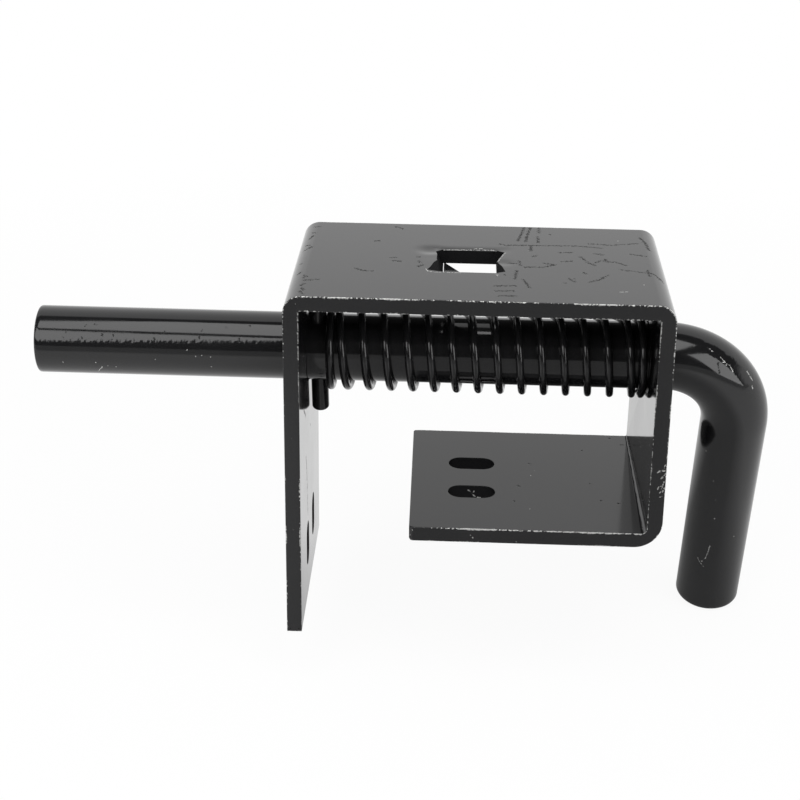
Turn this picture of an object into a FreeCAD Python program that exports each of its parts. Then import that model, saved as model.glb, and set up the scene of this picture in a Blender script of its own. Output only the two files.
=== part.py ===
import FreeCAD, Part
import math
import os

Vector = FreeCAD.Vector

# Folded bracket: one strip of plate with a long leg, a top, a short leg and a flange
plate = 4.4
bracket_width = 67.4
top_length = 108.6            # outer face of one leg to outer face of the other
long_leg = 106.3              # top surface down to the foot
short_leg = 74.35             # top surface down to the flange's underside
flange_length = 72.8          # from the short leg's outer face to the free end
top_bend_inside = 0.6
flange_bend_inside = 3.6      # at the near edge
flange_bend_far_inside = 1.2  # at the far edge, where the bend is pressed tighter
flange_corner = 1.2           # seen from above, at the flange's free end
sheared_edge = 0.8            # rolled-over lower edge of the flange's free end

# Fixing slots, the same pair in the flange and in the long leg
slot_width = 7.9
slot_length = 14.2
slot_spacing = 19.5
flange_slot_inset = 18.1      # free end to the middle of the slots
leg_slot_inset = 17.1         # foot to the middle of the slots

# Window punched in the top, with its corners spread at the upper surface
window_length = 15.6
window_width = 20.4
window_from_leg = 51.3        # long leg's outer face to the middle of the window
corner_inset = 1.5
far_left_spread = 2.3
far_right_spread = 2.4
near_left_spread = 4.5
near_right_spread = 3.1

# Sliver of plate left hanging on the window's near wall
sliver_thickness = 0.8
sliver_length = 19.0
sliver_base = 9.2
sliver_slit = 0.35

# Round bolt, bent down to a handle outside the short leg
bolt_diameter = 20.0
bolt_depth = 27.9             # top surface to the bolt's axis
bolt_clearance = 0.75         # all round in the two leg holes
nose_reach = 76.1             # bolt beyond the long leg
elbow_gap = 0.8               # short leg to the start of the bend
elbow_radius = 23.6
handle_length = 94.3          # bolt's axis to the handle's end
handle_lean = 14.0            # degrees that the handle hangs back
end_chamfer = 0.5

# Cross pin, driven through the bolt in the plane of the handle
pin_diameter = 5.2
pin_length = 45.4
pin_gap = 0.15                # pin to the long leg's inner face
pin_rounding = 0.7

# Return spring, between the pin and the short leg
wire_diameter = 2.3
spring_clearance = 0.575      # bolt to the inside of the coils
spring_seat = 0.1             # play at each end
closed_coil_gap = 0.1
pin_end_turns = 0.68          # nearly flat against the pin
pin_end_pitch = 0.6
leg_end_turns = 1.0           # closed up against the short leg
working_turns = 13.8
wire_start_angle = 96.0       # degrees from +Y towards +Z
sides_of_wire = 8
segments_per_turn = 24

# Places in the part's frame: the origin is the middle of the flange's slots, on its underside
long_leg_x = -(top_length - flange_length + flange_slot_inset)
short_leg_x = long_leg_x + top_length
near_y = -bracket_width / 2
top_z = short_leg
foot_z = short_leg - long_leg
bolt_z = top_z - bolt_depth
bolt_radius = bolt_diameter / 2
pin_x = long_leg_x + plate + pin_gap + pin_diameter / 2
cut_margin = 1.0
same_place = 1e-6

along_x = Vector(1, 0, 0)
across_y = Vector(0, 1, 0)
up_z = Vector(0, 0, 1)


def rounded_outline(corners):
    """Closed wire in the XZ plane through (x, z, radius) corners, with tangent arcs."""
    edges = []
    ends = []
    for index, (x, z, radius) in enumerate(corners):
        here = Vector(x, 0, z)
        before = Vector(corners[index - 1][0], 0, corners[index - 1][1])
        follow = corners[(index + 1) % len(corners)]
        after = Vector(follow[0], 0, follow[1])
        inward = (before - here).normalize()
        outward = (after - here).normalize()
        if radius == 0:
            ends.append((here, here))
            continue
        half_angle = inward.getAngle(outward) / 2
        setback = radius / math.tan(half_angle)
        start = here + inward * setback
        finish = here + outward * setback
        bisector = (inward + outward).normalize()
        middle = here + bisector * (radius / math.sin(half_angle) - radius)
        edges.append(Part.Arc(start, middle, finish).toShape())
        ends.append((start, finish))
    for index, (start, finish) in enumerate(ends):
        next_start = ends[(index + 1) % len(ends)][0]
        edges.append(Part.LineSegment(finish, next_start).toShape())
    return Part.Wire(Part.__sortEdges__(edges))


def folded_strip():
    """The strip's side outline, stretched over its width."""
    top_bend_outside = top_bend_inside + plate
    flange_bend_outside = flange_bend_inside + plate
    free_end_x = short_leg_x - flange_length
    inner_left = long_leg_x + plate
    inner_right = short_leg_x - plate
    under_top = top_z - plate
    corners = [
        (long_leg_x, foot_z, 0),
        (long_leg_x, top_z, top_bend_outside),
        (short_leg_x, top_z, top_bend_outside),
        (short_leg_x, 0, flange_bend_outside),
        (free_end_x, 0, sheared_edge),
        (free_end_x, plate, 0),
        (inner_right, plate, 0),
        (inner_right, under_top, top_bend_inside),
        (inner_left, under_top, top_bend_inside),
        (inner_left, foot_z, 0),
    ]
    side = Part.Face(rounded_outline(corners))
    side.translate(Vector(0, near_y, 0))
    return side.extrude(across_y * bracket_width)


def flange_bend_filling():
    """What rounds the flange's inner corner, with a radius that shrinks towards the far edge."""
    corner_x = short_leg_x - plate
    overlap = plate / 4
    profiles = []
    for y, radius in ((near_y, flange_bend_inside), (-near_y, flange_bend_far_inside)):
        low_end = Vector(corner_x - radius, y, plate)
        high_end = Vector(corner_x, y, plate + radius)
        reach = radius * (1 - math.sqrt(0.5))
        middle = Vector(corner_x - reach, y, plate + reach)
        root = Vector(corner_x + overlap, y, plate - overlap)
        edges = [
            Part.Arc(low_end, middle, high_end).toShape(),
            Part.LineSegment(high_end, high_end + along_x * overlap).toShape(),
            Part.LineSegment(high_end + along_x * overlap, root).toShape(),
            Part.LineSegment(root, low_end - up_z * overlap).toShape(),
            Part.LineSegment(low_end - up_z * overlap, low_end).toShape(),
        ]
        profiles.append(Part.Wire(edges))
    return Part.makeLoft(profiles, True, True)


def slot_cutter(centre, run, through):
    """Round-ended slot along run, cut through the plate along through."""
    sideways = run.cross(through)
    half_run = run * ((slot_length - slot_width) / 2)
    half_width = sideways * (slot_width / 2)
    base = centre - through * (plate / 2 + cut_margin)
    far_end = base + half_run
    near_end = base - half_run
    round_end = run * (slot_width / 2)
    edges = [
        Part.LineSegment(near_end + half_width, far_end + half_width).toShape(),
        Part.Arc(far_end + half_width, far_end + round_end, far_end - half_width).toShape(),
        Part.LineSegment(far_end - half_width, near_end - half_width).toShape(),
        Part.Arc(near_end - half_width, near_end - round_end, near_end + half_width).toShape(),
    ]
    return Part.Face(Part.Wire(edges)).extrude(through * (plate + 2 * cut_margin))


def slot_pairs():
    """Two slots along the flange and two down the long leg."""
    leg_middle_x = long_leg_x + plate / 2
    cutters = []
    for side in (-1, 1):
        y = side * slot_spacing / 2
        cutters.append(slot_cutter(Vector(0, y, plate / 2), along_x, up_z))
        leg_centre = Vector(leg_middle_x, y, foot_z + leg_slot_inset)
        cutters.append(slot_cutter(leg_centre, up_z, along_x))
    return cutters


def corner_cutters():
    """What lies outside the rounded corners of the flange's free end."""
    free_end_x = short_leg_x - flange_length
    height = plate + 2 * cut_margin
    cutters = []
    for side in (-1, 1):
        corner = Vector(free_end_x, side * bracket_width / 2, -cut_margin)
        centre = corner + Vector(flange_corner, -side * flange_corner, 0)
        block = Part.makeBox(flange_corner + cut_margin, flange_corner + cut_margin, height)
        block.translate(Vector(corner.x - cut_margin, min(centre.y, corner.y + side * cut_margin), corner.z))
        cutters.append(block.cut(Part.makeCylinder(flange_corner, height, centre, up_z)))
    return cutters


def bolt_holes():
    """One straight hole through both legs."""
    start = Vector(long_leg_x - cut_margin, 0, bolt_z)
    reach = top_length + 2 * cut_margin
    return Part.makeCylinder(bolt_radius + bolt_clearance, reach, start, along_x)


def tetrahedron(a, b, c, d):
    """Solid with four corners."""
    faces = []
    for triple in ((a, b, c), (a, b, d), (a, c, d), (b, c, d)):
        faces.append(Part.Face(Part.makePolygon([*triple, triple[0]])))
    return Part.makeSolid(Part.makeShell(faces))


def window_cutters():
    """Square-cut window, and a wedge that spreads each corner at the upper surface."""
    centre_x = long_leg_x + window_from_leg
    low_corner = Vector(centre_x - window_length / 2, -window_width / 2, top_z - plate - cut_margin)
    straight = Part.makeBox(window_length, window_width, plate + 2 * cut_margin, low_corner)
    spreads = {
        (-1, 1): far_left_spread,
        (1, 1): far_right_spread,
        (-1, -1): near_left_spread,
        (1, -1): near_right_spread,
    }
    cutters = [straight]
    for (side, end), spread in spreads.items():
        wall_x = centre_x + side * window_length / 2
        end_y = end * window_width / 2
        tip = Vector(wall_x, 0, top_z)
        corner = Vector(wall_x, end_y, top_z)
        ear = Vector(wall_x + side * spread, end_y - end * corner_inset, top_z)
        root = Vector(wall_x, end_y, top_z - plate)
        cutters.append(tetrahedron(tip, corner, ear, root))
    return cutters


def window_sliver():
    """Thin triangle on the near wall, with a slit between it and the left wall."""
    wall_y = -window_width / 2
    left_x = long_leg_x + window_from_leg - window_length / 2 + sliver_slit
    outline = [
        Vector(left_x, wall_y - cut_margin, top_z - plate),
        Vector(left_x + sliver_base, wall_y - cut_margin, top_z - plate),
        Vector(left_x + sliver_base, wall_y, top_z - plate),
        Vector(left_x, wall_y + sliver_length, top_z - plate),
    ]
    face = Part.Face(Part.makePolygon(outline + [outline[0]]))
    return face.extrude(up_z * sliver_thickness)


def make_bracket():
    """Folded strip with its slots, bolt holes, rounded corners and window."""
    strip = folded_strip().fuse(flange_bend_filling())
    pierced = strip.cut([bolt_holes()] + slot_pairs() + corner_cutters() + window_cutters())
    return pierced.fuse(window_sliver()).removeSplitter()


def lean_back(shape):
    """Turn a shape about the bolt's axis, so that what hangs down moves back."""
    shape.rotate(Vector(0, 0, bolt_z), along_x, handle_lean)
    return shape


def pin_bore_or_body(length):
    """Round bar of the pin's size, upright through the bolt's axis."""
    base = Vector(pin_x, 0, bolt_z - length / 2)
    return Part.makeCylinder(pin_diameter / 2, length, base, up_z)


def make_bolt():
    """Round bar from its nose to the elbow, bent through a right angle to the handle."""
    nose_x = long_leg_x - nose_reach
    bend_start_x = short_leg_x + elbow_gap
    bend_centre = Vector(bend_start_x, 0, bolt_z - elbow_radius)
    handle_x = bend_start_x + elbow_radius
    section = Part.Face(Part.Wire(Part.makeCircle(bolt_radius, Vector(bend_start_x, 0, bolt_z), along_x)))
    shank = Part.makeCylinder(bolt_radius, bend_start_x - nose_x, Vector(nose_x, 0, bolt_z), along_x)
    elbow = section.revolve(bend_centre, across_y, 90)
    grip_length = handle_length - elbow_radius
    grip = Part.makeCylinder(bolt_radius, grip_length, Vector(handle_x, 0, bend_centre.z), -up_z)
    bar = shank.fuse([elbow, grip]).removeSplitter()
    handle_end_z = bolt_z - handle_length
    rims = []
    for edge in bar.Edges:
        middle = edge.BoundBox.Center
        at_nose = abs(middle.x - nose_x) < same_place
        at_handle_end = abs(middle.z - handle_end_z) < same_place
        if at_nose or at_handle_end:
            rims.append(edge)
    bar = bar.makeChamfer(end_chamfer, rims)
    bar = bar.cut(pin_bore_or_body(bolt_diameter + 2 * cut_margin))
    return lean_back(bar)


def make_pin():
    """Straight pin with rounded ends, a driven fit in the bolt."""
    pin = pin_bore_or_body(pin_length)
    rims = []
    for edge in pin.Edges:
        if edge.BoundBox.ZLength < same_place:
            rims.append(edge)
    return lean_back(pin.makeFillet(pin_rounding, rims))


def coil_path(start_x, end_x, mean_radius):
    """Points of a right-hand coil round the bolt, flattened at the pin and closed up at the leg."""
    leg_end_pitch = wire_diameter + closed_coil_gap
    end_stretches = pin_end_turns * pin_end_pitch + leg_end_turns * leg_end_pitch
    pitch = (end_x - start_x - end_stretches) / working_turns
    total_turns = pin_end_turns + working_turns + leg_end_turns
    steps = round(total_turns * segments_per_turn)
    points = []
    for step in range(steps + 1):
        turn = total_turns * step / steps
        at_pin = min(turn, pin_end_turns)
        at_leg = max(0, turn - pin_end_turns - working_turns)
        x = start_x + at_pin * pin_end_pitch + at_leg * leg_end_pitch + (turn - at_pin - at_leg) * pitch
        angle = math.radians(wire_start_angle) + 2 * math.pi * turn
        y = mean_radius * math.cos(angle)
        z = bolt_z + mean_radius * math.sin(angle)
        points.append(Vector(x, y, z))
    return points


def mitred_wire(points, centre_z):
    """Flat-sided wire along the points, mitred at each one, with true width across its flats."""
    runs = []
    for here, there in zip(points, points[1:]):
        runs.append((there - here).normalize())
    run = runs[0]
    radial = Vector(0, points[0].y, points[0].z - centre_z)
    radial = (radial - run * radial.dot(run)).normalize()
    sideways = run.cross(radial)
    corner_radius = wire_diameter / 2 / math.cos(math.pi / sides_of_wire)
    ring = []
    for side in range(sides_of_wire):
        angle = 2 * math.pi * (side + 0.5) / sides_of_wire
        offset = radial * math.cos(angle) + sideways * math.sin(angle)
        ring.append(points[0] + offset * corner_radius)
    rings = [ring]
    for index in range(1, len(points)):
        run = runs[index - 1]
        following = runs[min(index, len(runs) - 1)]
        mitre = (run + following).normalize()
        ring = []
        for corner in rings[-1]:
            travel = (points[index] - corner).dot(mitre) / run.dot(mitre)
            ring.append(corner + run * travel)
        rings.append(ring)
    faces = []
    for ring, next_ring in zip(rings, rings[1:]):
        for side in range(sides_of_wire):
            other = (side + 1) % sides_of_wire
            quad = [ring[side], ring[other], next_ring[other], next_ring[side], ring[side]]
            faces.append(Part.Face(Part.makePolygon(quad)))
    for ring in (rings[0], rings[-1]):
        faces.append(Part.Face(Part.makePolygon(ring + [ring[0]])))
    shell = Part.makeShell(faces)
    shell.sewShape()
    return Part.makeSolid(shell)


def make_spring():
    """Compression spring between the cross pin and the short leg's inner face."""
    end_allowance = spring_seat + wire_diameter / 2
    start_x = pin_x + pin_diameter / 2 + end_allowance
    end_x = short_leg_x - plate - end_allowance
    mean_radius = bolt_radius + spring_clearance + wire_diameter / 2
    return mitred_wire(coil_path(start_x, end_x, mean_radius), bolt_z)


def write_parts():
    """One STEP file for each piece."""
    os.makedirs("parts", exist_ok=True)
    pieces = {
        "bracket": make_bracket(),
        "bolt_rod": make_bolt(),
        "cross_pin": make_pin(),
        "return_spring": make_spring(),
    }
    for name, shape in pieces.items():
        solid = shape.Solids[0]
        solid.exportStep(f"parts/{name}.step")
        size = solid.BoundBox
        print(name, len(shape.Solids), solid.isValid(), round(solid.Volume, 1),
              round(size.XLength, 2), round(size.YLength, 2), round(size.ZLength, 2))


write_parts()
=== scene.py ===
import math

import bmesh
import bpy
from mathutils import Matrix, Vector


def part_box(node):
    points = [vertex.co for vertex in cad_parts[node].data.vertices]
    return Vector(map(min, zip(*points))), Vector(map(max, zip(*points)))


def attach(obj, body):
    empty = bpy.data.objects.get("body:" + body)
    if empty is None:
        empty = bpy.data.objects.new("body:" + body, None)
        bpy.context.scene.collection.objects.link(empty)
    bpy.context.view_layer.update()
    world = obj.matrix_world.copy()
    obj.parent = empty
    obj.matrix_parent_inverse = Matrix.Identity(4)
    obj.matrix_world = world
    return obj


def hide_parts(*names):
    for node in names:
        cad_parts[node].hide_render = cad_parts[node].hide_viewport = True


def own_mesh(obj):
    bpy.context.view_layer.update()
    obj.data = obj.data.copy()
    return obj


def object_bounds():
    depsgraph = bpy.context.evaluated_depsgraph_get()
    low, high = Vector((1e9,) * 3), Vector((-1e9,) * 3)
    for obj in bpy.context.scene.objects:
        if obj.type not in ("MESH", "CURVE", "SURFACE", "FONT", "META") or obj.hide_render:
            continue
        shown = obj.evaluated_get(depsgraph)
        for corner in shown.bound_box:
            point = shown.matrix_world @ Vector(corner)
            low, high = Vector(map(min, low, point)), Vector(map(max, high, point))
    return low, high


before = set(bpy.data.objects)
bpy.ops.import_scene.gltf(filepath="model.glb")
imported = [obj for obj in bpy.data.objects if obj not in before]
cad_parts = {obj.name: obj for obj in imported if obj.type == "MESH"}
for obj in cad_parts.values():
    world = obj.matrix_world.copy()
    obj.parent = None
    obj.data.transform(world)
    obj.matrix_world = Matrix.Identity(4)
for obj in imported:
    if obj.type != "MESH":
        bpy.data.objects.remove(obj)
cadLow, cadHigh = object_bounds()
plateLow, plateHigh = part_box("bracket")
barLow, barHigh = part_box("bolt_rod")
print("frame loaded")

mm = 0.001


def linear(hexCode):  # an sRGB swatch such as "8a8a88", as the shaders want it
    channels = [int(hexCode[i:i + 2], 16) / 255 for i in (0, 2, 4)]
    return [c / 12.92 if c <= 0.04045 else ((c + 0.055) / 1.055) ** 2.4 for c in channels] + [1.0]


def perMetre(millimetres):  # texture scale that makes one feature this wide
    return 1 / (millimetres * mm)


def addNode(tree, kind, inputs=None, **settings):  # gives back the new node's outputs
    node = tree.nodes.new("ShaderNode" + kind)
    for name, value in settings.items():
        setattr(node, name, value)
    for socket, value in (inputs or {}).items():
        if isinstance(value, bpy.types.NodeSocket):
            tree.links.new(value, node.inputs[socket])
        else:
            node.inputs[socket].default_value = value
    return node.outputs


def emptyTree(owner):
    owner.use_nodes = True
    owner.node_tree.nodes.clear()
    return owner.node_tree


def addPiece(name, mesh, body, replaced):  # a finished mesh that stands for one CAD node
    piece = bpy.data.objects.new(name, mesh)
    bpy.context.scene.collection.objects.link(piece)
    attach(piece, body)
    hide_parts(replaced)
    return piece


def nearestGap(tree, spot, lines):  # how far the nearest line or lone dot of a list is
    nearest = None
    for line in lines:
        for start, end in zip(line, line[1:] or line):
            a = Vector((*start, 0)[:3]) * mm
            along = Vector((*end, 0)[:3]) * mm - a
            if along.length:
                offset = addNode(tree, "VectorMath", {0: spot, 1: a}, operation="SUBTRACT")[0]
                share = addNode(tree, "VectorMath", {0: offset, 1: along / along.length_squared},
                                operation="DOT_PRODUCT")["Value"]
                share = addNode(tree, "Clamp", {"Value": share})[0]
                foot = addNode(tree, "VectorMath", {0: along, "Scale": share}, operation="SCALE")[0]
                gap = addNode(tree, "VectorMath", {0: offset, 1: foot}, operation="DISTANCE")["Value"]
            else:
                gap = addNode(tree, "VectorMath", {0: spot, 1: a}, operation="DISTANCE")["Value"]
            if nearest is None:
                nearest = gap
            else:
                nearest = addNode(tree, "Math", {0: nearest, 1: gap}, operation="MINIMUM")[0]
    return nearest


def drawMarks(tree, spot, lines, width, uneven):  # 1 along the lines, broken up by the uneven noise
    gap = nearestGap(tree, spot, lines)
    wobble = addNode(tree, "MapRange", {"Value": uneven, "From Min": 0.35, "From Max": 0.65,
                                        "To Min": -0.3 * width * mm, "To Max": 0.55 * width * mm})[0]
    gap = addNode(tree, "Math", {0: gap, 1: wobble}, operation="ADD")[0]
    return addNode(tree, "MapRange", {"Value": gap, "From Min": 0.5 * width * mm,
                                      "From Max": 0.25 * width * mm})[0]


# Gloss black enamel: dipped and stoved, so it is nearly mirror-smooth with a faint orange peel,
# and it chips to bright steel along the sheared edges
def enamel(name, look, scuffs=(), bareSteelLines=(), flat=False):
    material = bpy.data.materials.new(name)
    tree = emptyTree(material)
    spot = addNode(tree, "TexCoord")["Object"]
    clouds = addNode(tree, "TexNoise", {"Vector": spot, "Scale": perMetre(look["cloud"]), "Detail": 2.0})[0]
    grain = addNode(tree, "Mapping", {"Vector": spot, "Scale": look["grainStretch"]})[0]
    peel = addNode(tree, "TexNoise", {"Vector": grain, "Scale": perMetre(look["peel"]), "Detail": 2.0})[0]
    ragged = addNode(tree, "TexNoise", {"Vector": spot, "Scale": perMetre(look["chipGrain"]), "Detail": 2.0})[0]
    runs = addNode(tree, "TexNoise", {"Vector": spot, "Scale": perMetre(look["chipRun"]), "Detail": 1.0})[0]

    # tiny pale nicks and dust, in one of every few cells
    cells = addNode(tree, "TexVoronoi", {"Vector": spot, "Scale": perMetre(look["nickSpacing"])})
    pick = addNode(tree, "SeparateColor", {"Color": cells["Color"]})[0]
    rare = addNode(tree, "Math", {0: pick, 1: look["nickShare"]}, operation="LESS_THAN")[0]
    reach = look["nickSize"] / look["nickSpacing"]
    near = addNode(tree, "MapRange", {"Value": cells["Distance"], "From Min": reach, "From Max": reach * 0.6})[0]
    bare = addNode(tree, "Math", {0: near, 1: rare}, operation="MULTIPLY")[0]

    # chips where the mesh says that a sheared rim is, in short ragged runs
    rim = addNode(tree, "Attribute", attribute_name="rim")["Fac"]
    patchy = addNode(tree, "Mix", {0: 0.5, "A": ragged, "B": runs})["Result"]
    allowed = addNode(tree, "MapRange", {"Value": patchy, "From Min": 0.35, "From Max": 0.65,
                                         "To Min": look["chipSpread"][0], "To Max": look["chipSpread"][1]})[0]
    worn = addNode(tree, "Math", {0: rim, 1: allowed}, operation="ADD")[0]
    chips = addNode(tree, "MapRange", {"Value": worn, "From Min": 1.0, "From Max": 1.08})[0]
    bare = addNode(tree, "Math", {0: bare, 1: chips}, operation="MAXIMUM")[0]

    paint = addNode(tree, "Mix", {0: clouds, "A": linear(look["dark"]), "B": linear(look["pale"])},
                    data_type="RGBA")["Result"]
    roughness = addNode(tree, "MapRange", {"Value": clouds, "From Min": 0.3, "From Max": 0.7,
                                           "To Min": look["roughness"][0], "To Max": look["roughness"][1]})[0]
    height = addNode(tree, "Math", {0: peel, 1: look["peelHeight"] * mm}, operation="MULTIPLY")[0]
    if look["rubHeight"]:
        rub = addNode(tree, "Attribute", attribute_name="rub")["Fac"]
        rough = addNode(tree, "TexNoise", {"Vector": spot, "Scale": perMetre(look["rubGrain"]), "Detail": 1.0})[0]
        rough = addNode(tree, "Math", {0: rough, 1: rub}, operation="MULTIPLY")[0]
        height = addNode(tree, "Math", {0: rough, 1: look["rubHeight"] * mm, 2: height},
                         operation="MULTIPLY_ADD")[0]
    if flat:  # the marks are given by x and y alone
        spot = addNode(tree, "VectorMath", {0: spot, 1: (1.0, 1.0, 0.0)}, operation="MULTIPLY")[0]
    # bare-steel lines: scratches and chips, and on the top also painted rim highlights
    if bareSteelLines:
        bareSteelDrawn = drawMarks(tree, spot, bareSteelLines, look["bareLineWidth"], ragged)
        bare = addNode(tree, "Math", {0: bare, 1: bareSteelDrawn}, operation="MAXIMUM")[0]
    if scuffs:
        dull = drawMarks(tree, spot, scuffs, look["scuffWidth"], ragged)
        paint = addNode(tree, "Mix", {0: dull, "A": paint, "B": linear(look["scuff"])},
                        data_type="RGBA")["Result"]
        roughness = addNode(tree, "Math", {0: dull, 1: look["scuffRoughness"], 2: roughness},
                            operation="MULTIPLY_ADD")[0]
        height = addNode(tree, "Math", {0: dull, 1: -look["scuffDepth"] * mm, 2: height},
                         operation="MULTIPLY_ADD")[0]
    steel = addNode(tree, "Mix", {0: ragged, "A": linear(look["darkSteel"]), "B": linear(look["paleSteel"])},
                    data_type="RGBA")["Result"]
    paint = addNode(tree, "Mix", {0: bare, "A": paint, "B": steel}, data_type="RGBA")["Result"]
    roughness = addNode(tree, "Mix", {0: bare, "A": roughness, "B": look["steelRoughness"]})["Result"]
    height = addNode(tree, "Math", {0: bare, 1: -look["chipDepth"] * mm, 2: height}, operation="MULTIPLY_ADD")[0]
    bump = addNode(tree, "Bump", {"Height": height, "Distance": 1.0})[0]
    finish = addNode(tree, "BsdfPrincipled", {"Base Color": paint, "Metallic": bare, "Roughness": roughness,
                                              "Normal": bump, "IOR": 1.5,
                                              "Specular IOR Level": look["specular"]})[0]
    addNode(tree, "OutputMaterial", {"Surface": finish})
    return material


# The folded plate bracket
bracketShape = {
    "thickness": 4.4, "flangeEnd": -18.1, "edgeRound": 0.35, "sharpAngle": 35.0, "wearBand": 1.0,
    "gridLow": (-24.0, -16.0), "gridHigh": (15.0, 18.0), "gridStep": 1.3,
    "windowMiddle": -2.6, "windowReach": 16.0,
}
rimWear = {  # how readily each stretch of sheared edge chips
    "topLeft": 0.97, "topCorner": 1.1, "topRight": 1.07, "innerBend": 1.18, "flange": 0.96, "inner": 0.95,
    "leftInner": 1.06, "outer": 0.99, "foot": 0.85,
}
dents = [  # middle x, y, reach and depth, in millimetres, round the punched window
    (-14.2, 8.9, 5.0, 0.42),
    (-13.6, 2.5, 3.4, 0.05),
    (7.4, -1.0, 3.0, 0.22),
    (6.8, 9.6, 2.6, 0.14),
]
windowShape = {
    "leftWall": -10.4, "nearTip": (-14.9, -8.7), "farTip": (-12.7, 8.7), "rightTip": (8.3, -8.7),
    "bulge": 1.8, "bulgeMiddle": -0.5, "bulgeReach": 5.0, "blend": 5.0, "rightPull": 0.8,
    "rollFrom": 10.1, "rollReach": 2.4, "rollDepth": 0.4,
    "sliverBase": (-0.85, -10.2), "sliverPull": 1.0, "sliverLeft": -10.05, "slitClose": 0.15,
}
bendShape = {"insideX": 50.3, "nearRadius": 3.6, "farRadius": 1.2, "tighten": 0.42, "mirrorSlope": (31.0, 67.4)}
skew = {"amount": 0.8, "from": 59.5, "to": 70.0}  # the right leg's near edge leans in towards the top
farSkew = {"flange": 0.75, "leftLeg": 0.45}  # how far both stand further left at their far edges
bracketLook = {
    "dark": "111112", "pale": "181819", "scuff": "191919", "darkSteel": "a0a09e", "paleSteel": "e8e8e6",
    "roughness": (0.07, 0.13), "steelRoughness": 0.35, "scuffRoughness": 0.55,
    "cloud": 22.0, "peel": 1.6, "peelHeight": 0.004, "grainStretch": (1.0, 1.0, 1.0),
    "specular": 0.47, "rubGrain": 1.2, "rubHeight": 0.0,
    "chipGrain": 0.5, "chipRun": 10.0, "chipSpread": (-0.35, 0.25), "chipDepth": 0.05,
    "nickSpacing": 9.0, "nickShare": 0.2, "nickSize": 0.2,
    "scuffWidth": 1.0, "bareLineWidth": 0.4, "scuffDepth": 0.12,
}
cutLook = dict(bracketLook, peel=2.0, peelHeight=0.012, roughness=(0.16, 0.26), specular=0.5)
# rough thin enamel over torn steel; its near-zero specular is painted shade on the window's and slots' walls and in
# the right bend's crease
tornSteelAndShadeLook = dict(bracketLook, peel=1.2, peelHeight=0.03, roughness=(0.45, 0.6), specular=0.03)
# the flange, the legs' faces and the underside: its lower specular is a little painted shade on these lower faces
insideShadedLook = dict(bracketLook, specular=0.4)
# the low part of the short leg's inner face: its near-zero specular is painted shade in place of the flange's
# reflection, with real specks and nicks
bendShadeLook = dict(bracketLook, roughness=(0.1, 0.16), specular=0.02, nickSpacing=5.0, nickShare=0.4)
topScuffs = [  # lines and dots in millimetres on the top, from the left bend to the right one
    [(-50.2, 28.8), (-48.7, 28.9)], [(-50.5, 23.3), (-49.4, 22.4)], [(-50.8, 17.6), (-49.9, 19.9)],
    [(-51.3, 11.7), (-50.3, 11.2)], [(-51.2, 7.5), (-49.4, 9.0)], [(-51.5, -4.8)], [(-51.2, -13.9), (-50.7, -13.0)],
    [(-49.4, -16.4), (-48.7, -17.2)], [(-49.2, -18.5)], [(-49.0, -20.5), (-45.2, -19.4)],
    [(-49.6, -24.7), (-48.8, -23.4)], [(-49.2, -26.7), (-48.5, -28.3)], [(-49.4, -29.6), (-48.3, -31.5)],
    [(-25.2, 30.3), (-22.9, 28.5)], [(-31.2, 16.0), (-29.6, 16.3)], [(-35.5, -9.0), (-33.1, -10.9), (-30.5, -11.2)],
    [(-17.5, -6.2), (-16.1, -4.8)], [(-17.9, 2.4), (-17.2, 2.2)], [(-17.4, -1.6), (-16.6, -3.4)],
    [(-24.9, -1.7), (-22.6, -2.0)], [(-25.6, 1.0), (-24.4, 1.2)],
    [(14.0, 32.5), (13.2, 27.5), (11.7, 19.5)], [(15.9, 32.7), (14.7, 24.6), (14.0, 19.1)],
    [(18.6, 32.9), (18.4, 27.9)], [(17.9, 24.0), (17.8, 18.5)], [(21.7, 26.2)],
    [(6.4, 16.4), (8.4, 14.4)], [(8.7, 15.3), (15.8, 15.5), (29.2, 16.1), (36.6, 14.5)],
    [(33.0, 18.4), (39.9, 17.6), (47.5, 19.8)], [(15.6, 14.6), (15.3, 10.4)], [(16.0, 5.4), (17.2, 6.0)],
    [(24.0, 9.4), (27.7, 9.9)], [(34.0, 9.4), (36.4, 8.4)], [(44.9, 9.6), (49.2, 8.0)],
    [(8.6, -1.0), (10.6, -1.6)], [(11.7, 0.8), (12.0, -2.6)],
    [(13.1, -4.4), (18.4, -4.0), (21.7, -1.9)], [(18.9, -0.6), (21.9, -1.6)], [(24.1, 1.3), (26.8, 1.9)],
    [(29.8, 5.9), (31.6, 1.0), (33.4, -1.3)], [(34.0, 1.2), (35.4, 3.2), (40.2, 1.7), (42.4, -0.9)],
    [(36.9, 4.6), (37.4, 1.9)], [(40.6, -4.7), (49.8, -7.4), (51.8, -12.2)], [(48.2, -4.5), (48.5, -9.6)],
    [(48.9, 25.3), (50.1, 20.7), (50.6, 14.1)], [(30.9, -15.8), (34.1, -13.6), (36.7, -9.4)],
    [(29.9, -8.1), (30.6, -9.8)], [(25.3, -13.6), (26.9, -16.0)], [(27.0, -13.4)], [(24.0, -17.1)],
    [(10.8, -7.9), (10.1, -14.8)], [(7.3, -11.6)], [(12.4, -14.8), (13.9, -22.0)],
    [(4.1, -21.1), (10.2, -20.6)], [(4.6, -25.2), (9.6, -24.8)], [(5.1, -29.1), (10.0, -28.8)],
]
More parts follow.
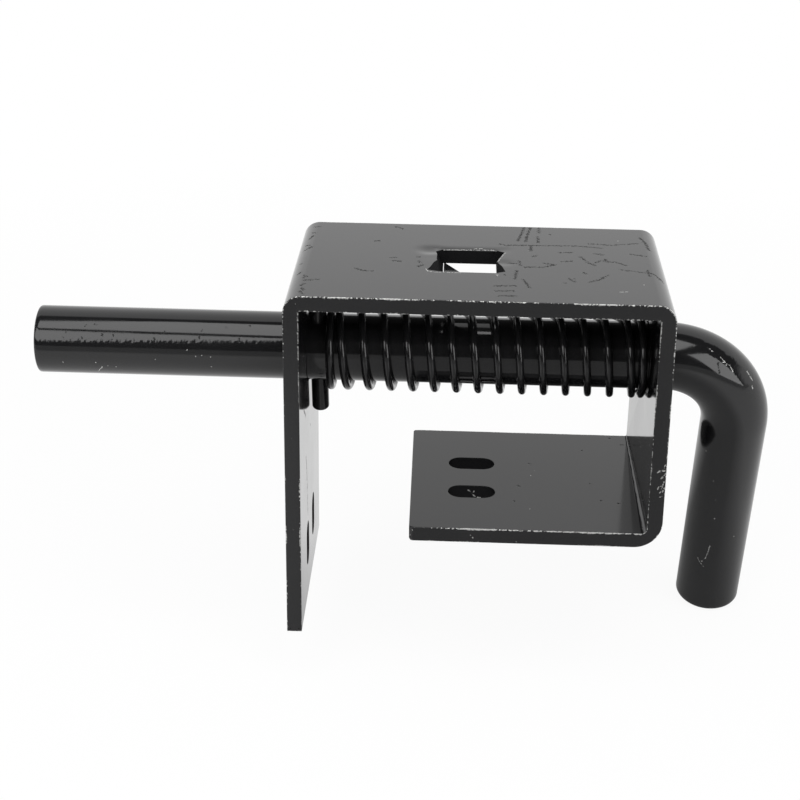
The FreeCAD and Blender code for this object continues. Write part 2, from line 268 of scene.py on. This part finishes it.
topScratchesAndRimHighlights = [  # where the enamel is through, round the window and beyond it; the lines along the window's rear rim and its right facet's edge are painted rim highlights drawn as bare steel
    [(-11.5, 10.3), (-4.0, 10.6), (4.6, 10.8)], [(-1.4, 11.4), (1.0, 11.6)], [(5.6, 0.5), (7.7, 8.2)],
    [(-15.3, -7.8), (-14.6, -9.9), (-12.9, -10.7)], [(-12.9, -10.7), (-5.2, -10.7)],
    [(4.6, -11.3), (5.5, -11.2), (5.0, -12.6), (4.8, -11.8)],
    [(46.1, -17.0)], [(38.9, -23.3), (41.1, -23.1)], [(42.0, 22.0)],
]
cutScratches = [  # on the near sheared face, x and z at its plane
    [(52.1, -33.7, 24.3), (52.9, -33.7, 24.9), (54.0, -33.7, 24.8)], [(53.7, -33.7, 25.7), (54.0, -33.7, 26.7)],
    [(53.1, -33.7, 22.3), (53.9, -33.7, 23.4)], [(53.6, -33.7, 22.9), (54.2, -33.7, 23.9)],
    [(52.4, -33.7, 18.7), (52.7, -33.7, 19.7), (53.3, -33.7, 20.0)], [(53.8, -33.7, 18.2), (54.3, -33.7, 19.4)],
    [(53.2, -33.7, 17.8), (53.7, -33.7, 19.7), (54.0, -33.7, 21.3)], [(53.0, -33.7, 16.5), (53.8, -33.7, 16.5)],
    [(-50.2, -33.7, 72.1)], [(-51.8, -33.7, 31.6)], [(-51.6, -33.7, 2.4)],
    [(0.4, -33.7, 1.6)], [(-0.2, -33.7, 2.4)], [(13.1, -33.7, 0.6)],
]
slotScratches = [  # on the far wall of the flange's near slot
    [(-0.9, -5.8, 2.8), (-0.1, -5.8, 2.2), (0.5, -5.8, 1.2)], [(0.9, -5.8, 2.7), (0.3, -5.8, 1.9)],
    [(0.5, -5.8, 1.2), (1.5, -5.8, 0.6), (2.6, -5.8, 0.4)],
]
bendScratches = [  # specks on the short leg's inner face, above the flange
    [(50.3, -5.8, 19.0)], [(50.3, -8.6, 17.0)], [(50.3, -12.3, 14.5)], [(50.3, -14.2, 12.8)], [(50.3, -20.1, 8.5)],
]
insideScratches = [[(18.2, 2.4, 4.4)], [(17.3, -11.0, 4.4)], [(17.3, -20.1, 4.4)]]
insideScuffs = [  # dots on the flange and short scores on the left leg's inner face
    [(34.9, 21.4, 4.4)], [(14.4, -5.1, 4.4)], [(38.7, -13.2, 4.4)], [(43.7, -14.8, 4.4)],
    [(12.7, -15.2, 4.4)], [(36.2, -2.3, 4.4)], [(44.5, 31.2, 4.4)], [(48.3, 26.5, 4.4)], [(18.3, 10.5, 4.4)],
    [(-49.5, -19.7, 34.4), (-49.5, -13.8, 29.8)], [(-49.5, 8.8, 18.7)], [(-49.5, 3.5, 19.0)],
    [(-49.5, -13.6, 16.3), (-49.5, -11.0, 8.8), (-49.5, -9.0, -5.2)],
]


def gridTop(mesh):  # crossing cuts round the window, so that the dents are in the mesh itself
    low, high, step = bracketShape["gridLow"], bracketShape["gridHigh"], bracketShape["gridStep"]
    for axis in (0, 1):
        for count in range(int((high[axis] - low[axis]) / step) + 1):
            place, normal = Vector((0, 0, 0)), Vector((0, 0, 0))
            place[axis] = (low[axis] + count * step) * mm
            normal[axis] = 1
            faces = [f for f in mesh.faces if f.normal.z > 0.99 and f.verts[0].co.z > plateHigh.z - 0.01 * mm]
            cutFaces(mesh, faces, place, normal)


def cutFaces(mesh, faces, place, normal):
    edges = {e for f in faces for e in f.edges}
    verts = {v for f in faces for v in f.verts}
    bmesh.ops.bisect_plane(mesh, geom=[*faces, *edges, *verts], dist=1e-7, plane_co=place, plane_no=normal)


def dentDepth(x, y):
    depth = 0
    for middleX, middleY, reach, deep in dents:
        share = math.hypot(x - middleX, y - middleY) / reach
        if share < 1:
            depth += deep * (1 - share * share) ** 2
    rolled = (y - windowShape["rollFrom"]) / windowShape["rollReach"]
    if 0 < rolled < 1 and windowShape["farTip"][0] < x < -windowShape["nearTip"][1]:
        depth += windowShape["rollDepth"] * (1 - rolled) ** 2
    return depth


def windowShift(x, y):  # the torn left side bulges out, and the near right corner is spread less
    tipX, tipY = windowShape["nearTip"] if y < 0 else windowShape["farTip"]
    outside = windowShape["leftWall"] + (tipX - windowShape["leftWall"]) * y / tipY - x
    bulge, blend = windowShape["bulge"], windowShape["blend"]
    if -0.01 < outside < blend and abs(y) < abs(tipY):
        middle = (y - windowShape["bulgeMiddle"]) / windowShape["bulgeReach"]
        return -bulge * math.exp(-middle * middle) * (1 - outside / blend)
    share = math.hypot(x - windowShape["rightTip"][0], y - windowShape["rightTip"][1]) / blend
    return -windowShape["rightPull"] * (1 - share) if share < 1 else 0.0


def sliverShift(x, y):  # its base reaches further along the near wall, and its slit is narrower
    baseX, baseY = windowShape["sliverBase"]
    if math.hypot(x - baseX, y - baseY) < 0.3:
        return windowShape["sliverPull"]
    return -windowShape["slitClose"] if abs(x - windowShape["sliverLeft"]) < 0.1 else 0.0


def legShift(place):  # in millimetres: the crisper inner bend, and the edges that lean
    x, y, z = place
    share = (y - plateLow.y / mm) / (plateHigh.y - plateLow.y) * mm
    if z < bracketShape["thickness"] + 0.1 and abs(x - bracketShape["flangeEnd"]) < 0.6:
        return -farSkew["flange"] * share, 0.0
    if abs(x - plateLow.x / mm - bracketShape["thickness"]) < 0.5 and z < 69:
        return -farSkew["leftLeg"] * share * min(1, (69 - z) / 10), 0.0
    radius = bendShape["nearRadius"] + (bendShape["farRadius"] - bendShape["nearRadius"]) * share
    inward, upward = bendShape["insideX"] - x, z - bracketShape["thickness"]
    if -0.6 < inward < radius + 0.1 and -0.6 < upward < radius + 0.1:
        tighten = bendShape["tighten"]
        return inward * (1 - tighten), -upward * (1 - tighten)
    if x > bendShape["insideX"] - 6:
        rise = min(1, max(0, (z - skew["from"]) / (skew["to"] - skew["from"])))
        return -skew["amount"] * (1 - share) * rise, 0.0
    return 0.0, 0.0


def boundWear(mesh, rim):  # loops of cuts that keep the wear close to the sheared rims, and its vertices
    band = bracketShape["wearBand"] * mm
    flangeEnd, flangeTop = bracketShape["flangeEnd"] * mm, bracketShape["thickness"] * mm
    for y in (plateLow.y + band, plateHigh.y - band):
        cutFaces(mesh, mesh.faces[:], (0, y, 0), (0, 1, 0))
    flange = [f for f in mesh.faces if f.calc_center_median().z < flangeTop * 1.1
              and f.calc_center_median().x > flangeEnd]
    cutFaces(mesh, flange, (flangeEnd + band, 0, 0), (1, 0, 0))
    leg = [f for f in mesh.faces if f.calc_center_median().x < plateLow.x + flangeTop * 1.1]
    for z in (plateLow.z + band, 0, 60 * mm):
        cutFaces(mesh, leg, (0, 0, z), (0, 0, 1))
        leg = [f for f in mesh.faces if f.calc_center_median().x < plateLow.x + flangeTop * 1.1]
    rims = [v for v in mesh.verts if v[rim] > 0.99]
    sheared = [f for f in mesh.faces if abs(f.normal.y) > 0.99 and f.calc_area() > 50 * mm * mm]
    bmesh.ops.inset_individual(mesh, faces=sheared, thickness=band, use_even_offset=True)
    return rims


def rimWeight(place):
    x, y, z = place / mm
    left, right, top = plateLow.x / mm, plateHigh.x / mm, plateHigh.z / mm
    skin = bracketShape["thickness"] * 0.55
    onFlange = z < 10 and x > bracketShape["flangeEnd"] - 0.5
    onSide = abs(y) > plateHigh.y / mm - 0.5
    if not onSide:
        atEnd = z < plateLow.z / mm + 0.5 or onFlange and x < bracketShape["flangeEnd"] + 0.5
        return rimWear["foot"] if atEnd else 0.0
    if z > top - skin:
        if x < left + 8:
            return rimWear["topCorner"]
        return rimWear["topLeft"] if x < -25 else rimWear["topRight"]
    if x < left + skin or x > right - skin or onFlange and z < skin:
        return rimWear["outer"]
    if x > 40 and z < 17:
        return rimWear["innerBend"]
    if x < 0 and z > -5:
        return rimWear["leftInner"]
    return rimWear["flange"] if onFlange else rimWear["inner"]


# the walls of the flange's slots, which get the torn-steel finish as painted shade
def inSlot(place, normal):
    return abs(normal.z) < 0.5 and abs(place.x) < 8.5 and abs(place.y) < 15 and 0.2 < place.z < 4.3


# these facets get the torn-steel finish as a painted line of shade in the crease
def inCrease(place, normal):  # the first facets of the right bend's inner corner
    return place.x > 44 and 4.4 < place.z < 6.5 and 0.9 < normal.z < 0.999 and normal.x < 0


# this part gets painted shade in place of its reflection of the flange
def underReflection(place, normal):  # the part of the short leg's inner face that mirrors the flange
    onLeg = normal.x < -0.97 and abs(place.x - bendShape["insideX"]) < 1.5 and place.z > 4.5
    along, up = bendShape["mirrorSlope"]
    return onLeg and (place.y - 33.7) * along + (place.z - 4.4) * up < 0


def bracketMesh():
    mesh = bmesh.new()
    mesh.from_mesh(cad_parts["bracket"].data)
    rim = mesh.verts.layers.float.new("rim")
    bmesh.ops.remove_doubles(mesh, verts=mesh.verts, dist=0.001 * mm)
    bmesh.ops.dissolve_limit(mesh, angle_limit=math.radians(0.2), verts=mesh.verts, edges=mesh.edges)
    gridTop(mesh)
    sharp = []   # the window keeps its crisp punched rim
    for edge in mesh.edges:
        middle = (edge.verts[0].co + edge.verts[1].co) / (2 * mm)
        fromWindow = math.hypot(middle.x - bracketShape["windowMiddle"], middle.y)
        atWindow = fromWindow < bracketShape["windowReach"] and middle.z > 69
        if not atWindow and edge.calc_face_angle() > math.radians(bracketShape["sharpAngle"]):
            sharp.append(edge)
    rounded = bmesh.ops.bevel(mesh, geom=sharp, offset=bracketShape["edgeRound"] * mm, segments=3, profile=0.5,
                              affect="EDGES", clamp_overlap=True)
    for vertex in rounded["verts"]:
        vertex[rim] = 1.0
    rims = boundWear(mesh, rim)
    for vertex in mesh.verts:
        vertex[rim] = 0.0
    for vertex in rims:
        vertex[rim] = rimWeight(vertex.co)
    for vertex in mesh.verts:
        if vertex.co.z > plateHigh.z - 0.5 * mm:
            x, y = vertex.co.x / mm, vertex.co.y / mm
            vertex.co.x += windowShift(x, y) * mm
            vertex.co.z -= dentDepth(x, y) * mm
        elif vertex.co.z > plateHigh.z - (bracketShape["thickness"] + 0.1) * mm:
            vertex.co.x += sliverShift(vertex.co.x / mm, vertex.co.y / mm) * mm
    for vertex in mesh.verts:
        across, up = legShift(vertex.co / mm)
        vertex.co += Vector((across, 0, up)) * mm
    mesh.normal_update()
    # cut the short leg's inner face along the edge of that painted shade
    inBend = (plateHigh.x - bracketShape["thickness"] * mm, plateHigh.y, bracketShape["thickness"] * mm)
    lowLeg = [f for f in mesh.faces if f.normal.x < -0.9 and f.calc_center_median().x > inBend[0] - 2 * mm]
    cutFaces(mesh, lowLeg, inBend, (0, *bendShape["mirrorSlope"]))
    mesh.normal_update()
    # 0 is the top, 1 the sheared faces, 2 the rest with a little painted shade, 3 torn steel and painted shade on
    # walls and crease, 4 painted shade low on the short leg
    for face in mesh.faces:
        middle = face.calc_center_median()
        fromWindow = math.hypot(middle.x / mm - bracketShape["windowMiddle"], middle.y / mm)
        if fromWindow < bracketShape["windowReach"] and middle.z > 65 * mm and abs(face.normal.z) < 0.9:
            face.material_index = 3
        elif inSlot(middle / mm, face.normal) or inCrease(middle / mm, face.normal):
            face.material_index = 3
        elif underReflection(middle / mm, face.normal):
            face.material_index = 4
        elif abs(face.normal.y) > 0.7:
            face.material_index = 1
        elif middle.z > plateHigh.z - 3 * mm:
            face.material_index = 0
        else:
            face.material_index = 2
    made = bpy.data.meshes.new("bracketPlate")
    mesh.to_mesh(made)
    mesh.free()
    for name in [a.name for a in made.attributes if a.name == "custom_normal"]:
        made.attributes.remove(made.attributes[name])
    made.shade_smooth()
    made.set_sharp_from_angle(angle=math.radians(bracketShape["sharpAngle"]))
    return made


bracket = addPiece("bracketPlate", bracketMesh(), "bracket", "bracket")
bracket.modifiers.new("evenShading", "WEIGHTED_NORMAL").keep_sharp = True
bracket.data.materials.append(enamel("blackEnamelOnTop", bracketLook, topScuffs, topScratchesAndRimHighlights, flat=True))
bracket.data.materials.append(enamel("blackEnamelOnShearedEdge", cutLook, bareSteelLines=cutScratches))
bracket.data.materials.append(enamel("blackEnamelInsideWithPaintedShade", insideShadedLook, insideScuffs, insideScratches))
bracket.data.materials.append(enamel("tornSteelWithPaintedShade", tornSteelAndShadeLook, bareSteelLines=slotScratches))
bracket.data.materials.append(enamel("paintedShadeAndSpecksInTheBend", bendShadeLook, bareSteelLines=bendScratches))
print("bracket done")


# The bent round bar: nose, shank, elbow and handle in one piece
barShape = {
    "diameter": 20.0, "elbowRadius": 23.6, "lean": 14.0, "handleLength": 94.3,
    "chamfer": 0.5, "sides": 96, "elbowSteps": 48, "runStep": 1.6, "wearBand": 1.5, "rimWear": 0.93,
}
rubbed = [  # where handling has roughened the enamel: a line in millimetres and how far it reaches
    ([(-128.0, -9.3, 50.0), (-58.0, -9.3, 50.0)], 2.5),
    ([(66.6, -5.5, 52.6), (75.8, -4.1, 47.8), (80.2, -4.1, 42.6), (83.3, -2.7, 39.0)], 6.0),
]
barLook = dict(bracketLook, specular=0.5, cloud=16.0, peel=2.5, peelHeight=0.01, grainStretch=(0.125, 1.0, 1.0),
               rubHeight=0.06, nickSpacing=11.0, nickShare=0.3, nickSize=0.26, scuffWidth=0.7, bareLineWidth=0.36)
barScratches = [  # chips and scores through to steel on the nose, the elbow and the handle
    [(-111.8, -7.0, 39.3), (-110.3, -8.6, 41.3)], [(-108.5, -8.8, 41.8)], [(-106.1, -8.7, 41.5)],
    [(-121.7, -9.3, 42.8)], [(-112.0, -9.4, 43.0)], [(-94.2, -9.9, 44.8)], [(-84.6, -9.9, 48.0)],
    [(-82.1, -10.0, 46.1)], [(-80.4, -10.0, 46.4)], [(-77.8, -10.0, 46.0)], [(-77.8, -9.2, 42.6)],
    [(-83.8, -9.0, 42.1)],
    [(71.8, -7.1, 47.8), (74.2, -6.6, 46.4), (75.1, -6.8, 44.7)], [(67.2, -6.2, 51.8), (68.7, -6.5, 50.7)],
    [(71.2, -6.5, 49.0), (72.3, -6.7, 47.9), (73.0, -7.0, 46.8)], [(81.6, -4.5, 39.3), (81.9, -4.5, 38.5)],
    [(79.8, -3.8, 43.6), (81.7, -3.6, 40.7)],
    [(73.2, 10.0, -26.9), (74.1, 9.8, -28.5), (75.3, 9.5, -29.8)],
    [(74.2, 9.6, -27.9), (75.3, 8.5, -26.0), (75.7, 7.9, -24.0), (76.0, 6.9, -20.6)],
    [(71.0, -0.9, 24.7)], [(71.0, 1.8, 14.7)], [(74.1, 1.4, 4.8)], [(75.5, 2.5, -2.2)], [(76.1, 4.1, -9.5)],
    [(83.0, 6.3, -16.7)],
]
barScuffs = [  # dull spots, most of them on the nose's upper side
    [(-124.0, -8.0, 52.5)], [(-120.4, -8.3, 52.0)], [(-121.0, -9.1, 50.6)], [(-115.6, -9.1, 50.6)],
    [(-109.6, -8.6, 51.5)], [(-106.3, -8.7, 51.4)], [(-94.2, -8.9, 50.9)], [(-114.8, -6.9, 53.7)],
    [(-111.9, -6.5, 54.0)], [(-91.5, -7.9, 52.5)], [(-80.4, -7.3, 53.2)], [(-73.3, -6.4, 54.2)],
    [(-66.6, -5.9, 54.5)], [(-69.4, -8.6, 51.5)], [(-81.0, -8.6, 51.5)],
    [(70.4, -7.7, 47.6), (71.0, -8.5, 44.8)],
]
axisHeight = barHigh.z - barShape["diameter"] / 2 * mm


def sweptMesh(name, stations, sides):  # rings round a line: each station is centre, run, reference, radius
    mesh = bmesh.new()
    rings = []
    for centre, run, reference, radius in stations:
        outward = (reference - run * reference.dot(run)).normalized()
        sideways = run.cross(outward)
        ring = []
        for side in range(sides):
            angle = 2 * math.pi * side / sides
            ring.append(mesh.verts.new(centre + (outward * math.cos(angle) + sideways * math.sin(angle)) * radius))
        rings.append(ring)
    for ring, following in zip(rings, rings[1:]):
        for side in range(sides):
            other = (side + 1) % sides
            mesh.faces.new((ring[side], ring[other], following[other], following[side]))
    mesh.faces.new(list(reversed(rings[0])))
    mesh.faces.new(rings[-1])
    bmesh.ops.recalc_face_normals(mesh, faces=mesh.faces)
    made = bpy.data.meshes.new(name)
    mesh.to_mesh(made)
    mesh.free()
    made.shade_smooth()
    made.set_sharp_from_angle(angle=math.radians(50))
    return made


def paintVertices(mesh, name, valueAt):  # a value on each vertex, worked out from its place in millimetres
    layer = mesh.attributes.new(name, "FLOAT", "POINT")
    for index, vertex in enumerate(mesh.vertices):
        layer.data[index].value = valueAt(vertex.co / mm)


def barStations():
    radius, elbow = barShape["diameter"] / 2, barShape["elbowRadius"]
    chamfer, band, height = barShape["chamfer"], barShape["wearBand"], axisHeight / mm
    nose = barLow.x / mm
    handleX = barHigh.x / mm - radius
    bendX = handleX - elbow
    endZ = height - barShape["handleLength"]
    path = []   # x, z, direction in degrees below +X, radius
    path.append((nose, height, 0, radius - chamfer - band))
    for inset, cut in ((0, 1), (0.3, 0.35), (1, 0)):
        path.append((nose + inset * chamfer, height, 0, radius - cut * chamfer))
    steps = round((bendX - nose - band) / barShape["runStep"])
    for step in range(steps + 1):
        path.append((nose + band + (bendX - nose - band) * step / steps, height, 0, radius))
    for step in range(1, barShape["elbowSteps"] + 1):
        turn = 90 * step / barShape["elbowSteps"]
        angle = math.radians(turn)
        path.append((bendX + elbow * math.sin(angle), height - elbow * (1 - math.cos(angle)), turn, radius))
    straight = height - elbow - endZ - band
    steps = round(straight / barShape["runStep"])
    for step in range(1, steps + 1):
        path.append((handleX, height - elbow - straight * step / steps, 90, radius))
    for inset, cut in ((1, 0), (0.3, 0.35), (0, 1)):
        path.append((handleX, endZ + inset * chamfer, 90, radius - cut * chamfer))
    path.append((handleX, endZ, 90, radius - chamfer - band))
    lean = Matrix.Rotation(math.radians(barShape["lean"]), 3, "X")
    pivot = Vector((0, 0, axisHeight))
    stations = []
    for x, z, turn, size in path:
        angle = math.radians(turn)
        centre = lean @ (Vector((x, 0, z)) * mm - pivot) + pivot
        run = lean @ Vector((math.cos(angle), 0, -math.sin(angle)))
        stations.append((centre, run, lean @ Vector((0, 1, 0)), size * mm))
    return stations


def barRim(place):  # the chamfered rims of the nose and of the handle's end
    lean = math.radians(barShape["lean"])
    height, innermost = place.z - axisHeight / mm, barShape["diameter"] / 2 - barShape["chamfer"] * 1.1
    drop = place.y * math.sin(lean) - height * math.cos(lean)
    if place.x < barLow.x / mm + barShape["chamfer"] * 1.1:
        out = math.hypot(place.y, height)
    elif drop > barShape["handleLength"] - barShape["chamfer"] * 1.1:
        out = math.hypot(place.x - barHigh.x / mm + barShape["diameter"] / 2,
                         place.y * math.cos(lean) + height * math.sin(lean))
    else:
        out = 0.0
    return barShape["rimWear"] if out > innermost else 0.0


def barRub(place):
    most = 0.0
    for line, reach in rubbed:
        for start, end in zip(line, line[1:]):
            a, along = Vector(start), Vector(end) - Vector(start)
            share = min(1, max(0, (place - a).dot(along) / along.length_squared))
            most = max(most, 1 - (place - a - along * share).length / reach)
    return most


barMesh = sweptMesh("boltBar", barStations(), barShape["sides"])
paintVertices(barMesh, "rim", barRim)
paintVertices(barMesh, "rub", barRub)
bar = addPiece("boltBar", barMesh, "bolt", "bolt_rod")
bar.data.materials.append(enamel("blackEnamelOnBar", barLook, barScuffs, barScratches))
print("bolt bar done")


# The cross pin keeps its CAD solid
pinLook = dict(bracketLook, peel=0.8, nickShare=0.0)
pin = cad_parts["cross_pin"]
pin.data.materials.clear()
pin.data.materials.append(enamel("blackEnamelOnPin", pinLook))
print("cross pin done")


# The return spring, in round wire where the CAD has eight flats
springShape = {
    "wire": 2.3, "clearance": 0.575, "closedPitch": 2.4, "pinEndPitch": 0.6, "pinEndTurns": 0.68,
    "legEndTurns": 1.0, "workingTurns": 13.8, "startAngle": 96.0, "perTurn": 72, "sides": 16,
}
springLook = dict(bracketLook, peel=0.7, peelHeight=0.003, roughness=(0.1, 0.16), nickShare=0.0)


def springStations():
    wire = springShape["wire"]
    springLow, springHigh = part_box("return_spring")
    start, end = springLow.x / mm + wire / 2, springHigh.x / mm - wire / 2
    radius = barShape["diameter"] / 2 + springShape["clearance"] + wire / 2
    pinTurns, legTurns = springShape["pinEndTurns"], springShape["legEndTurns"]
    closedLength = pinTurns * springShape["pinEndPitch"] + legTurns * springShape["closedPitch"]
    pitch = (end - start - closedLength) / springShape["workingTurns"]
    total = pinTurns + springShape["workingTurns"] + legTurns
    steps = round(total * springShape["perTurn"])
    points = []
    for step in range(steps + 1):
        turn = total * step / steps
        atPin = min(turn, pinTurns)
        atLeg = max(0, turn - pinTurns - springShape["workingTurns"])
        x = start + atPin * springShape["pinEndPitch"] + atLeg * springShape["closedPitch"]
        x += (turn - atPin - atLeg) * pitch
        angle = math.radians(springShape["startAngle"]) + 2 * math.pi * turn
        points.append(Vector((x * mm, radius * math.cos(angle) * mm, axisHeight + radius * math.sin(angle) * mm)))
    stations = []
    for index, point in enumerate(points):
        before, after = points[max(index - 1, 0)], points[min(index + 1, steps)]
        outward = Vector((0, point.y, point.z - axisHeight))
        stations.append((point, (after - before).normalized(), outward, wire / 2 * mm))
    return stations


spring = addPiece("returnSpring", sweptMesh("returnSpring", springStations(), springShape["sides"]),
                  "spring", "return_spring")
spring.data.materials.append(enamel("blackCoatedSpringWire", springLook))
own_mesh(spring)
print("spring done")


# White sweep, three softboxes and a white surround with dark gaps between the boxes
studio = {
    "aim": (0.0, 0.0, 0.04), "distance": 1.1, "radiance": 3.1,
    "ambient": 0.42, "darkGap": 0.06, "gapFrom": -14.0, "gapTo": 105.0, "gapBlur": 3.0, "gapSide": (0.93, 0.98),
}
softboxes = {  # shift along X in metres, azimuth, elevation and roll in degrees, width and height in metres
    "topBox": {"shift": 0.04, "azimuth": 0.0, "elevation": 67.5, "roll": -25.9, "size": (1.10, 0.73)},
    "leftBox": {"shift": -0.635, "azimuth": 0.0, "elevation": 34.8, "roll": -25.9, "size": (0.80, 0.76)},
    "rightBox": {"shift": 0.0, "azimuth": 51.0, "elevation": 6.0, "roll": 17.0, "size": (0.55, 1.20)},
}
# what reflections see of the card is set here: a painted shadow under the object between its two edges, and set
# levels towards the near side and beyond the far slant
card = {
    "drop": 1.0, "near": -1.4, "far": 6.0, "half": 4.0, "colour": "f1f1f1", "shadowShare": 0.93,
    "paintedShadowLeftEdge": (-0.09, -0.03), "paintedShadowRightEdge": (0.13, 0.08), "nearRamp": (-0.22, -0.30),
    "bright": 0.92, "paintedShadowLevel": 0.4, "nearLevel": 0.43, "farSlant": 0.9, "farRamp": (-0.03, -0.10),
    "farLevel": 1.0,
}


def makeSoftbox(name, box):
    width, height = box["size"]
    lamp = bpy.data.lights.new(name, "AREA")
    lamp.shape = "RECTANGLE"
    lamp.size, lamp.size_y = width, height
    lamp.energy = studio["radiance"] * math.pi * width * height
    holder = bpy.data.objects.new(name, lamp)
    bpy.context.scene.collection.objects.link(holder)
    facing = (Matrix.Rotation(math.radians(box["azimuth"]), 4, "Z")
              @ Matrix.Rotation(math.radians(90 - box["elevation"]), 4, "X"))
    place = Vector(studio["aim"]) + Vector((box["shift"], 0, 0)) + facing @ Vector((0, 0, studio["distance"]))
    holder.matrix_world = Matrix.Translation(place) @ facing @ Matrix.Rotation(math.radians(box["roll"]), 4, "Z")
    holder.visible_camera = False


def makeSurround():
    world = bpy.data.worlds.new("surround")
    bpy.context.scene.world = world
    tree = emptyTree(world)
    heading = addNode(tree, "TexCoord")["Generated"]
    parts = addNode(tree, "SeparateXYZ", {"Vector": heading})
    near = addNode(tree, "Math", {0: parts["Y"], 1: -1.0}, operation="MULTIPLY")[0]
    climb = addNode(tree, "Math", {0: parts["Z"], 1: near}, operation="ARCTAN2")[0]
    blur = math.radians(studio["gapBlur"])
    low, high = math.radians(studio["gapFrom"]), math.radians(studio["gapTo"])
    above = addNode(tree, "MapRange", {"Value": climb, "From Min": low - blur, "From Max": low})[0]
    under = addNode(tree, "MapRange", {"Value": climb, "From Min": high + blur, "From Max": high})[0]
    sideways = addNode(tree, "Math", {0: parts["X"]}, operation="ABSOLUTE")[0]
    ahead = addNode(tree, "MapRange", {"Value": sideways, "From Min": studio["gapSide"][1],
                                       "From Max": studio["gapSide"][0]})[0]
    dark = addNode(tree, "Math", {0: above, 1: under}, operation="MULTIPLY")[0]
    dark = addNode(tree, "Math", {0: dark, 1: ahead}, operation="MULTIPLY")[0]
    mirrored = addNode(tree, "MapRange", {"Value": dark, "To Min": 1.0, "To Max": studio["darkGap"]})[0]
    path = addNode(tree, "LightPath")
    level = addNode(tree, "Mix", {0: path["Is Glossy Ray"], "A": studio["ambient"], "B": mirrored})["Result"]
    straight = addNode(tree, "Math", {0: path["Is Camera Ray"], 1: path["Is Transmission Ray"]},
                       operation="MAXIMUM")[0]
    level = addNode(tree, "Mix", {0: straight, "A": level, "B": 1.0})["Result"]
    glow = addNode(tree, "Background", {"Color": (1, 1, 1, 1), "Strength": level})[0]
    addNode(tree, "OutputWorld", {"Surface": glow})


def cardRamp(tree, value, ends, levels):
    return addNode(tree, "MapRange", {"Value": value, "From Min": ends[0], "From Max": ends[1],
                                      "To Min": levels[0], "To Max": levels[1]})[0]


def makeFloor():
    level = cadLow.z - card["drop"] * mm
    near, far, half = card["near"], card["far"], card["half"]
    mesh = bpy.data.meshes.new("floor")
    mesh.from_pydata([(-half, near, level), (half, near, level), (half, far, level), (-half, far, level)],
                     [], [(0, 1, 2, 3)])
    floor = bpy.data.objects.new("floor", mesh)
    bpy.context.scene.collection.objects.link(floor)
    material = bpy.data.materials.new("whiteCard")  # matt white card that keeps a faint shadow
    tree = emptyTree(material)
    spot = addNode(tree, "TexCoord")["Object"]
    distance = addNode(tree, "VectorMath", {0: spot, 1: (0, 0.05, level)}, operation="DISTANCE")["Value"]
    away = cardRamp(tree, distance, (0.15, 0.5), (card["shadowShare"], 1.0))
    parts = addNode(tree, "SeparateXYZ", {"Vector": spot})
    # painted shadow under the object in the floor's glow for glossy rays: dim between the two edges, bright outside
    # them
    left = cardRamp(tree, parts["X"], card["paintedShadowLeftEdge"], (card["bright"], card["paintedShadowLevel"]))
    right = cardRamp(tree, parts["X"], card["paintedShadowRightEdge"], (card["bright"], card["paintedShadowLevel"]))
    mirrored = addNode(tree, "Math", {0: left, 1: right}, operation="MAXIMUM")[0]
    close = cardRamp(tree, parts["Y"], card["nearRamp"], (0.0, 1.0))
    mirrored = addNode(tree, "Mix", {0: close, "A": mirrored, "B": card["nearLevel"]})["Result"]
    slanted = addNode(tree, "Math", {0: parts["Y"], 1: -card["farSlant"], 2: parts["X"]},
                      operation="MULTIPLY_ADD")[0]
    beyond = cardRamp(tree, slanted, card["farRamp"], (0.0, 1.0))
    mirrored = addNode(tree, "Mix", {0: beyond, "A": mirrored, "B": card["farLevel"]})["Result"]
    path = addNode(tree, "LightPath")
    strength = addNode(tree, "Mix", {0: path["Is Glossy Ray"], "A": 1.0, "B": mirrored})["Result"]
    matt = addNode(tree, "BsdfDiffuse", {"Color": linear(card["colour"])})[0]
    glow = addNode(tree, "Emission", {"Color": (1, 1, 1, 1), "Strength": strength})[0]
    seen = addNode(tree, "Math", {0: path["Is Camera Ray"], 1: path["Is Glossy Ray"]}, operation="MAXIMUM")[0]
    seen = addNode(tree, "Math", {0: seen, 1: path["Is Transmission Ray"]}, operation="MAXIMUM")[0]
    share = addNode(tree, "Math", {0: seen, 1: away}, operation="MULTIPLY")[0]
    surface = addNode(tree, "MixShader", {0: share, 1: matt, 2: glow})[0]
    addNode(tree, "OutputMaterial", {"Surface": surface})
    mesh.materials.append(material)


# The camera was fitted to the bracket's edges and the bar's outline
view = {
    "place": (-7.1035, -456.7664, 230.2508),
    "yaw": 0.0333615, "pitch": -0.4137112, "roll": -0.0149827,
    "focalPixels": 1655.0, "picturePixels": 800.0, "sensor": 36.0,
}


def makeCamera():
    lens = bpy.data.cameras.new("camera")
    lens.sensor_width = view["sensor"]
    lens.lens = view["focalPixels"] / view["picturePixels"] * view["sensor"]
    lens.clip_start, lens.clip_end = 0.01, 50.0
    camera = bpy.data.objects.new("camera", lens)
    bpy.context.scene.collection.objects.link(camera)
    turn = (Matrix.Rotation(view["yaw"], 3, "Z") @ Matrix.Rotation(view["pitch"], 3, "X")
            @ Matrix.Rotation(view["roll"], 3, "Y"))
    turn = turn @ Matrix.Rotation(math.pi / 2, 3, "X")  # a camera looks down its own -Z
    camera.matrix_world = Matrix.Translation(Vector(view["place"]) * mm) @ turn.to_4x4()
    bpy.context.scene.camera = camera


for boxName, softbox in softboxes.items():
    makeSoftbox(boxName, softbox)
makeSurround()
makeFloor()
makeCamera()
bpy.context.scene.view_settings.view_transform = "Standard"
print("studio done")
